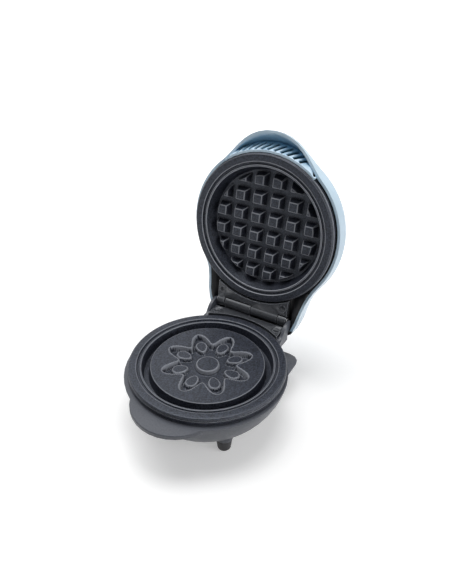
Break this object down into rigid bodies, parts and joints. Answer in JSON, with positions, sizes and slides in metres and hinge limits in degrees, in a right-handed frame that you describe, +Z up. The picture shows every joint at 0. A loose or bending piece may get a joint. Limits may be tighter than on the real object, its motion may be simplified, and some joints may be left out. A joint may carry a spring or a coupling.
{
  "type": "mini waffle maker",
  "caption": "Round countertop waffle maker with a hinged lid, a moated lower plate with a flower relief, a grid upper plate, a louvred lid handle, a thumb lip and four stub feet",
  "frame": {"origin": "on the table, at the middle of the outline seen from above with the lid open", "axes": "+Z up, X along the hinge, -Y to the front where the thumb lip is; the lid stands open on its stop at rest"},
  "size_m": [0.1248, 0.1826, 0.1914],
  "materials": {
    "charcoal_body": "moulded heat-proof plastic, dark grey, fine satin",
    "nonstick": "cast plate with a pebbled black non-stick coat",
    "pale_blue": "moulded plastic, pale blue, soft gloss",
    "black_plastic": "moulded black heat-proof plastic",
    "foot_black": "moulded near-black plastic",
    "hinge_black": "folded steel, semi-gloss black",
    "steel": "plain steel",
    "tinplate": "plain sheet",
    "ceramic": "off-white ceramic",
    "lens_red": "clear red plastic",
    "lamp_glass": "small neon lamp"
  },
  "bodies": {
    "base": {"base_housing": "charcoal_body", "base_plate": "nonstick", "foot_front_left": "foot_black", "foot_front_right": "foot_black", "foot_rear_left": "foot_black", "foot_rear_right": "foot_black", "base_heating_element": "steel", "base_heat_shield": "tinplate", "base_thermostat": "ceramic", "base_thermal_fuse": "tinplate", "terminal_block": "ceramic", "cord_gland": "black_plastic", "cord_gland_nut": "black_plastic", "base_plate_screw_1": "steel", "base_plate_screw_2": "steel", "base_plate_screw_3": "steel", "hinge_leaf_base": "hinge_black", "hinge_pin": "steel", "hinge_screw_base_left": "hinge_black", "hinge_screw_base_right": "hinge_black"},
    "lid": {"lid_shell": "pale_blue", "lid_inner_cover": "black_plastic", "handle_grille": "pale_blue", "lid_plate": "nonstick", "lid_heating_element": "steel", "lid_heat_shield": "tinplate", "lid_thermostat": "ceramic", "indicator_lens": "lens_red", "indicator_lamp": "lamp_glass", "lid_plate_screw_1": "steel", "lid_plate_screw_2": "steel", "lid_plate_screw_3": "steel", "hinge_leaf_lid": "hinge_black", "hinge_screw_lid_left": "hinge_black", "hinge_screw_lid_right": "hinge_black"}
  },
  "joints": [
    {"name": "lid_hinge", "type": "hinge", "parent": "base", "child": "lid", "pos_m": [0, 0.04874, 0.0517], "axis": [1, 0, 0], "range_deg": [0, 99]}
  ]
}
